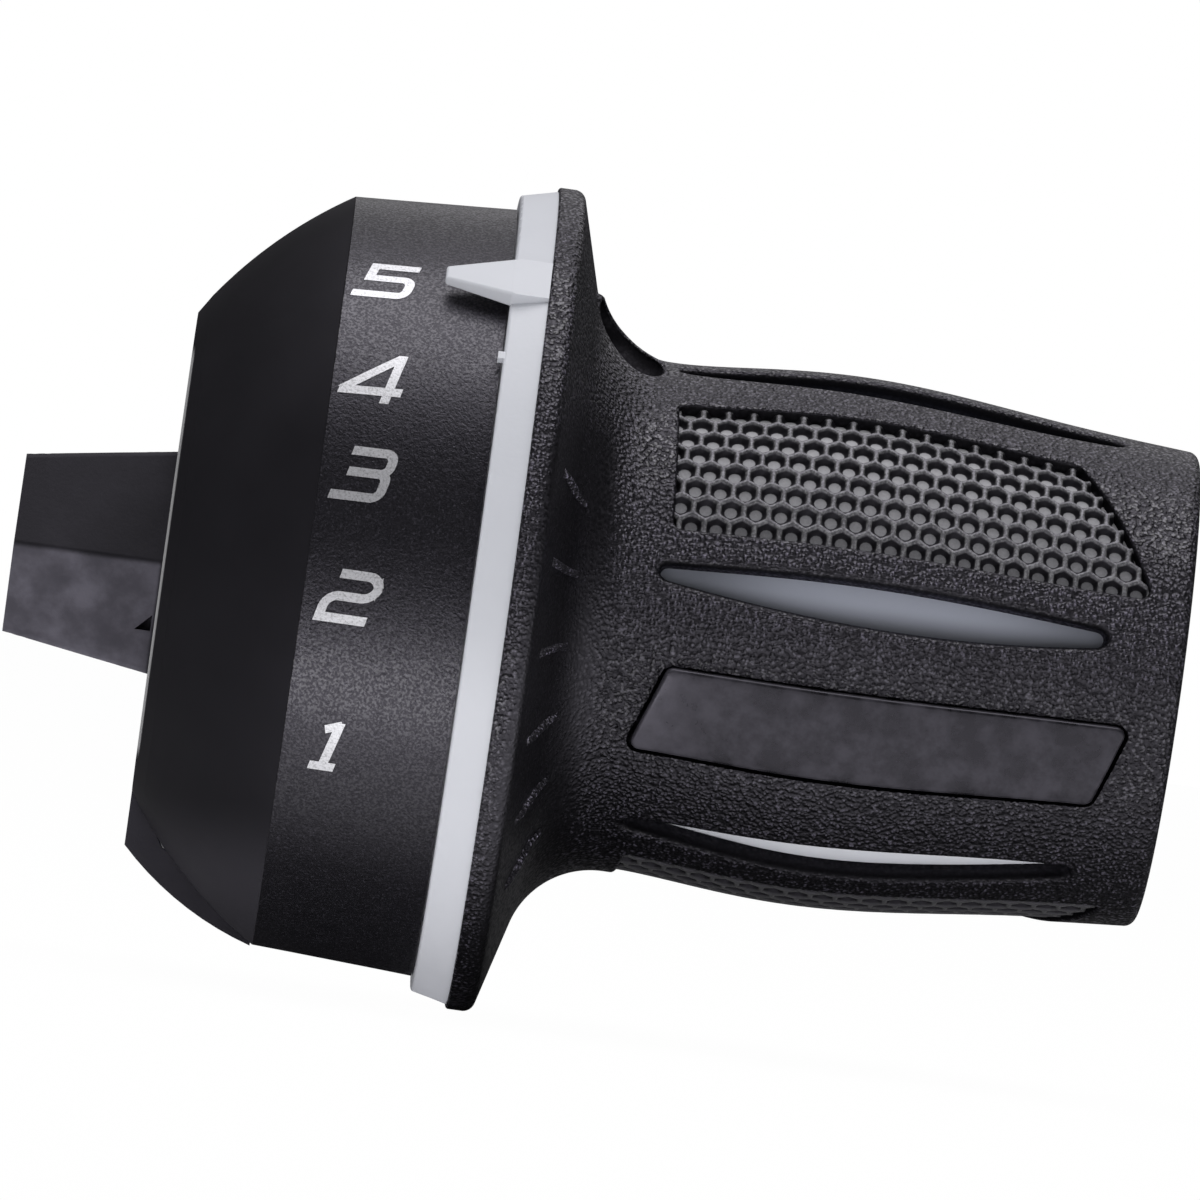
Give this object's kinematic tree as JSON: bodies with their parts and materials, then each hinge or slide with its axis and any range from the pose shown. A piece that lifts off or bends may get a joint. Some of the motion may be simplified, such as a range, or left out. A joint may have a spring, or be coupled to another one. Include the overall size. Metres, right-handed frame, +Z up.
{
  "type": "twist grip shifter",
  "caption": "Bicycle twist grip gear shifter: fixed drum with gear numbers, clamp and cable outlet, and a turning rubber grip with an indicator ring and pointer.",
  "frame": {"origin": "on the handlebar axis, in the parting plane between the fixed drum and the turning indicator ring", "axes": "+X along the handlebar, outboard, towards the open end of the grip; +Z up; a viewer who looks along +Y sees the gear numbers"},
  "size_m": [0.0787, 0.056, 0.056],
  "materials": {
    "base_plastic": "fine moulded grain",
    "drum_plastic": "fine spark texture on the number band, satin on the dome",
    "fastener_steel": "zinc plated",
    "spring_steel": "rolled strip",
    "spool_plastic": "natural moulded",
    "grey_plastic": "light grey satin",
    "sleeve_rubber": "leathery pebble grain",
    "plate_plastic": "smooth satin",
    "pad_rubber": "moulded honeycomb"
  },
  "bodies": {
    "housing": {"housing_base": "base_plastic", "housing_cover": "drum_plastic", "clamp_bolt": "fastener_steel", "clamp_nut": "fastener_steel", "cover_screws": "fastener_steel", "detent_spring": "spring_steel"},
    "grip": {"grip_barrel": "grey_plastic", "cable_spool": "spool_plastic", "rubber_sleeve": "sleeve_rubber", "badge_plate": "plate_plastic", "grip_pad_1": "pad_rubber", "grip_pad_2": "pad_rubber", "grip_pad_3": "pad_rubber", "grip_pad_4": "pad_rubber"}
  },
  "joints": [
    {"name": "grip_twist", "type": "hinge", "parent": "housing", "child": "grip", "pos_m": [0, 0, 0], "axis": [1, 0, 0], "range_deg": [0, 77.9], "deforming": ["detent_spring"]}
  ]
}
